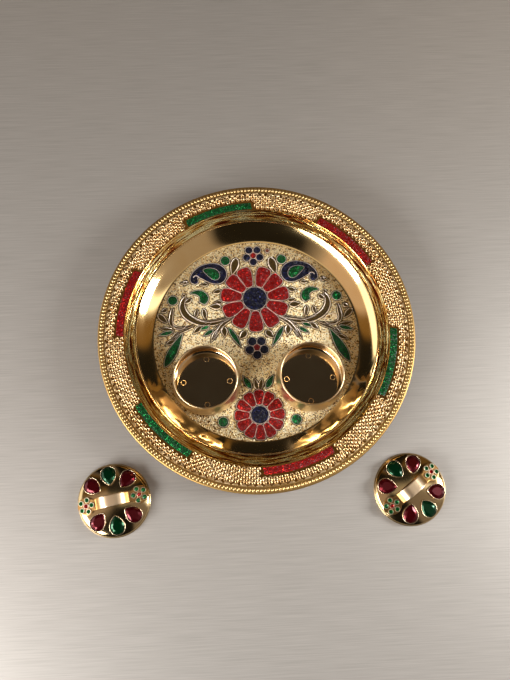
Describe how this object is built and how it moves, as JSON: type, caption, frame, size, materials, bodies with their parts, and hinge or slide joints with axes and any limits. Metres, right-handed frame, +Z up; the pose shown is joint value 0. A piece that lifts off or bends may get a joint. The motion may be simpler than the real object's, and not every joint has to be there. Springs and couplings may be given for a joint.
{
  "type": "puja thali",
  "caption": "Round devotional plate with an enamelled floral floor, fixed cups and jewelled strap-handled lids that lift off.",
  "frame": {"origin": "centre of the plate's underside, on the table", "axes": "+Z up out of the plate, +Y up the floral design and away from the user, +X to the user's right"},
  "size_m": [0.284, 0.2776, 0.0238],
  "materials": {
    "gold_plate": "gold-plated and mirror polished",
    "champagne_panel": "pale gold plate, stippled matte ground with polished raised relief",
    "enamel_red": "glossy cold enamel with fine glitter",
    "enamel_green": "glossy cold enamel with fine glitter",
    "enamel_blue": "glossy cold enamel with fine glitter",
    "enamel_brown": "glossy cold enamel",
    "stone_red": "foiled red glass, faceted",
    "stone_green": "foiled green glass, faceted"
  },
  "bodies": {
    "plate": {"thali": "gold_plate", "floor_panel": "champagne_panel", "bars_red": "enamel_red", "bars_green": "enamel_green", "katori_left": "gold_plate", "katori_right": "gold_plate", "bloom_petals": "enamel_red", "bloom_eye": "enamel_blue", "blossom_petals": "enamel_red", "blossom_eye": "enamel_blue", "top_floret_petals": "enamel_blue", "top_floret_eye": "enamel_red", "mid_floret_petals": "enamel_blue", "mid_floret_eye": "enamel_red", "paisley_left": "enamel_blue", "paisley_right": "enamel_blue", "paisley_drop_left": "enamel_green", "paisley_drop_right": "enamel_green", "spots_green": "enamel_green", "spot_brown": "enamel_brown", "leaves_side": "enamel_green", "leaves_bloom": "enamel_green", "leaves_blossom": "enamel_green", "commas": "enamel_green", "sprays": "enamel_green"},
    "lid_left": {"lid_left": "gold_plate", "strap_left": "gold_plate", "bezels_left": "gold_plate", "rubies_left": "stone_red", "emeralds_left": "stone_green", "floret_green_left": "stone_green", "floret_red_left": "stone_red"},
    "lid_right": {"lid_right": "gold_plate", "strap_right": "gold_plate", "bezels_right": "gold_plate", "rubies_right": "stone_red", "emeralds_right": "stone_green", "floret_green_right": "stone_green", "floret_red_right": "stone_red"}
  },
  "joints": [
    {"name": "lid_left_lift", "type": "slide", "parent": "plate", "child": "lid_left", "axis": [0, 0, 1], "range_m": [0, 0.08]},
    {"name": "lid_right_lift", "type": "slide", "parent": "plate", "child": "lid_right", "axis": [0, 0, 1], "range_m": [0, 0.08]}
  ]
}
